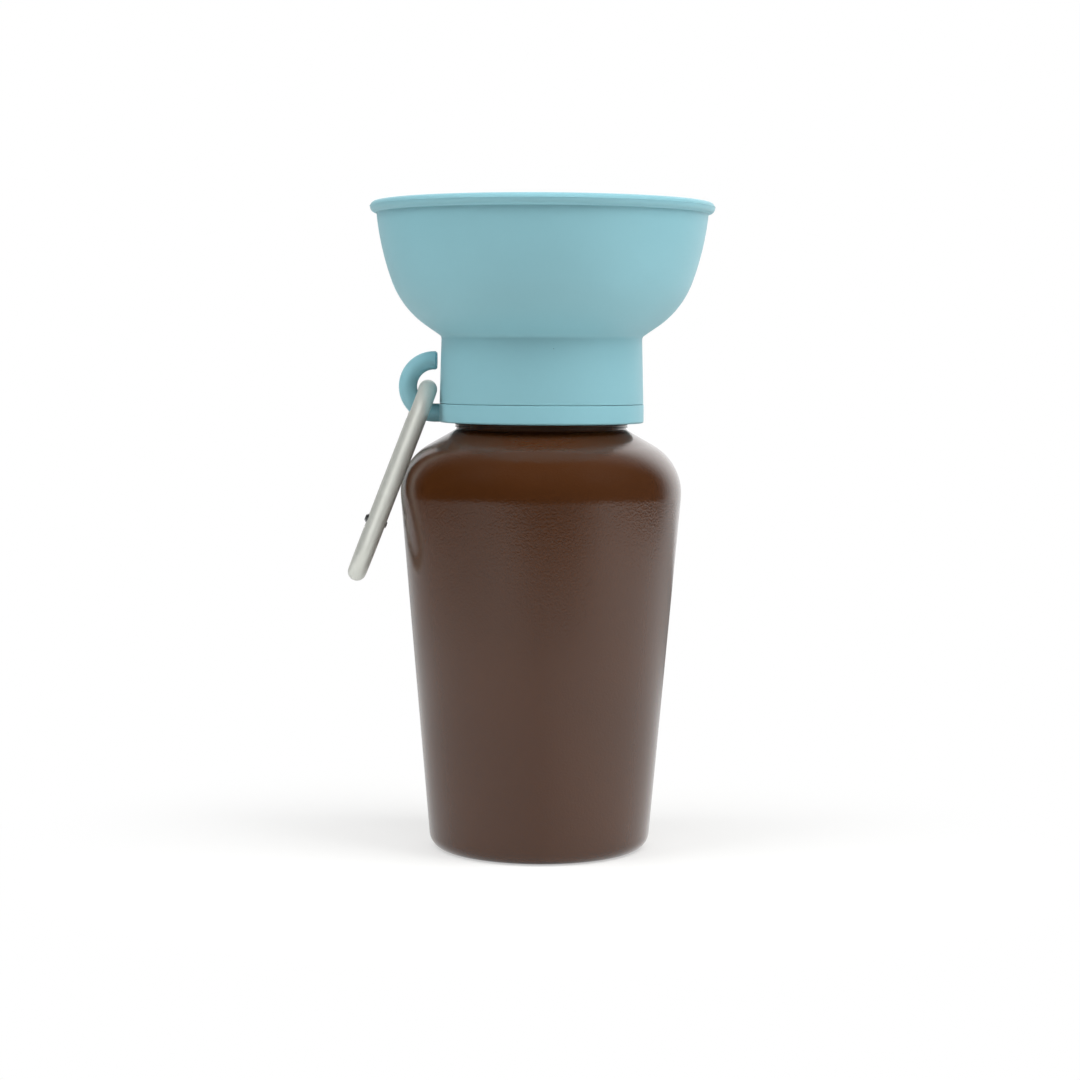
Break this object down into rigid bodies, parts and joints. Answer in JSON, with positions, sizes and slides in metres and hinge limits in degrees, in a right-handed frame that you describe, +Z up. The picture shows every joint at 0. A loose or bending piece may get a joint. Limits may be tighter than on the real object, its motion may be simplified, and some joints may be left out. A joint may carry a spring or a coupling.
{
  "type": "dog travel water bottle",
  "caption": "Squeeze water bottle with a drinking bowl for a lid, a twist valve, a side hook and a hanging carabiner.",
  "frame": {"origin": "centre of the plane that the bottle stands on, on the bottle's axis", "axes": "+Z up along the bottle's axis, -X towards the hook and the carabiner, -Y towards the viewer of the picture"},
  "size_m": [0.1036, 0.0972, 0.1834],
  "materials": {
    "bottle": "glossy blow-moulded polyethylene, cocoa brown",
    "teal": "matte injection-moulded polypropylene, teal",
    "silicone": "matte grey silicone",
    "natural": "natural polypropylene, slightly milky",
    "anodised": "satin silver anodised aluminium",
    "steel": "dull steel"
  },
  "bodies": {
    "bottle": {"bottle": "bottle"},
    "closure_lifted": {"neck_gasket": "silicone"},
    "closure_raised": {"dip_tube": "natural"},
    "closure": {"collar": "teal", "valve_stem": "natural", "plug_seal": "silicone"},
    "bowl_lifted": {"ring_seal": "silicone"},
    "bowl": {"bowl": "teal"},
    "carabiner": {"carabiner_body": "anodised", "gate_rivet": "steel"},
    "gate": {"carabiner_gate": "anodised", "latch_pin": "steel", "gate_spring": "steel"},
    "pusher": {"gate_pusher": "steel"}
  },
  "joints": [
    {"name": "closure_lift", "type": "slide", "parent": "bottle", "child": "closure_lifted", "axis": [0, 0, 1], "range_m": [0, 0.13]},
    {"name": "closure_rise", "type": "slide", "parent": "closure_lifted", "child": "closure_raised", "axis": [0, 0, 1], "range_m": [0, 0.0084]},
    {"name": "closure_turn", "type": "hinge", "parent": "closure_raised", "child": "closure", "pos_m": [0, 0, 0.125], "axis": [0, 0, 1], "range_deg": [0, 720]},
    {"name": "bowl_lift", "type": "slide", "parent": "closure", "child": "bowl_lifted", "axis": [0, 0, 1], "range_m": [0, 0.0035]},
    {"name": "bowl_turn", "type": "hinge", "parent": "bowl_lifted", "child": "bowl", "pos_m": [0, 0, 0.14], "axis": [0, 0, 1], "range_deg": [0, 90]},
    {"name": "carabiner_swing", "type": "hinge", "parent": "closure", "child": "carabiner", "pos_m": [-0.03225, 0, 0.13073], "axis": [0, 1, 0], "range_deg": [0, 100]},
    {"name": "gate_open", "type": "hinge", "parent": "carabiner", "child": "gate", "pos_m": [-0.04762, 0.00999, 0.09239], "axis": [0.9315, 0.0523, -0.3599], "range_deg": [0, 22], "stiffness_Nm_per_rad": 0.02, "springref_deg": -17.19},
    {"name": "pusher_slide", "type": "slide", "parent": "gate", "child": "pusher", "axis": [0.3604, 0, 0.9328], "range_m": [0, 0.000228], "deforming": ["gate_spring"]}
  ],
  "couplings": [
    {"joint": "closure_rise", "follows": "closure_turn", "m_per_rad": 0.00066845},
    {"joint": "bowl_lift", "follows": "bowl_turn", "m_per_rad": 0.0022282},
    {"joint": "pusher_slide", "follows": "gate_open", "m_per_rad": 0.00059379}
  ]
}
